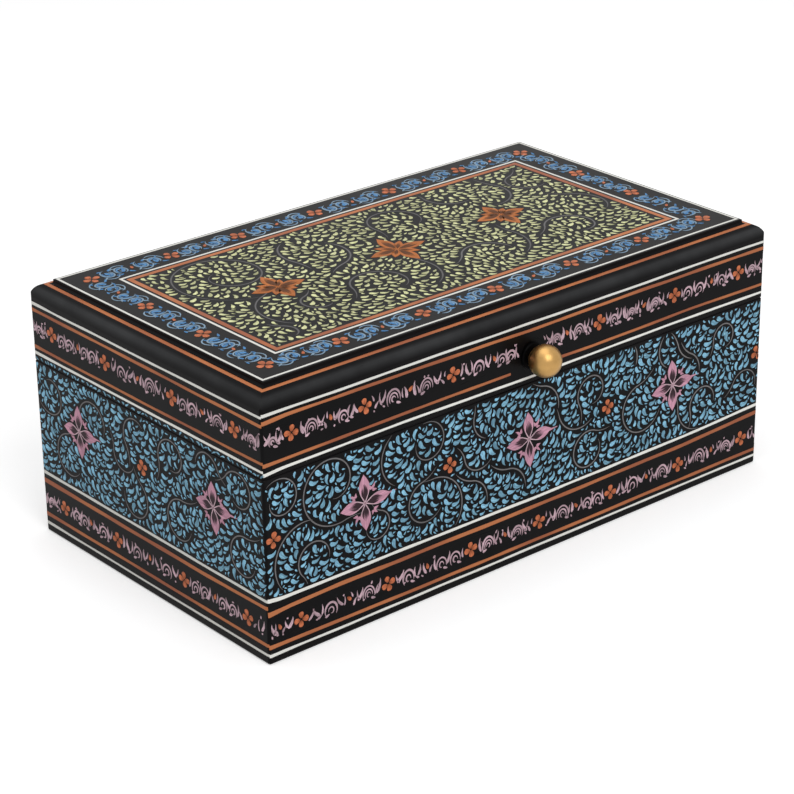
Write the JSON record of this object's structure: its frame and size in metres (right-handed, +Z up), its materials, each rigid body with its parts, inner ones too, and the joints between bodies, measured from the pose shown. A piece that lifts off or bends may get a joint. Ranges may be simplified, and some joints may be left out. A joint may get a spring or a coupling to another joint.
{
  "type": "hinged wooden box",
  "caption": "Rectangular wooden keepsake box with a hinged, moulded lid and a ball knob, painted with floral scrollwork on black; it stores small things.",
  "frame": {"origin": "centre of the underside, on the surface that the box stands on", "axes": "+Z up, +X to the right along the front, the front with the knob faces -Y, the hinges are at +Y"},
  "size_m": [0.24, 0.1526, 0.101],
  "materials": {
    "lacquered_wood": "gloss black lacquer with painted ornament",
    "bare_wood": "satin",
    "turned_wood": "gloss black lacquer",
    "brass": "satin",
    "zinc_steel": "satin"
  },
  "bodies": {
    "base": {"base_front": "lacquered_wood", "base_back": "lacquered_wood", "base_left": "lacquered_wood", "base_right": "lacquered_wood", "base_floor": "bare_wood", "hinge_left_base_leaf": "brass", "hinge_right_base_leaf": "brass", "hinge_left_pin": "brass", "hinge_right_pin": "brass", "base_hinge_screws": "brass"},
    "lid": {"lid_front": "lacquered_wood", "lid_back": "lacquered_wood", "lid_left": "lacquered_wood", "lid_right": "lacquered_wood", "lid_top": "lacquered_wood", "hinge_left_lid_leaf": "brass", "hinge_right_lid_leaf": "brass", "lid_hinge_screws": "brass", "knob_ball": "brass", "knob_collar": "turned_wood", "knob_washer": "zinc_steel", "knob_nut": "zinc_steel"}
  },
  "joints": [
    {"name": "lid_hinge", "type": "hinge", "parent": "base", "child": "lid", "pos_m": [0, 0.0699, 0.0695], "axis": [-1, 0, 0], "range_deg": [0, 180]}
  ]
}
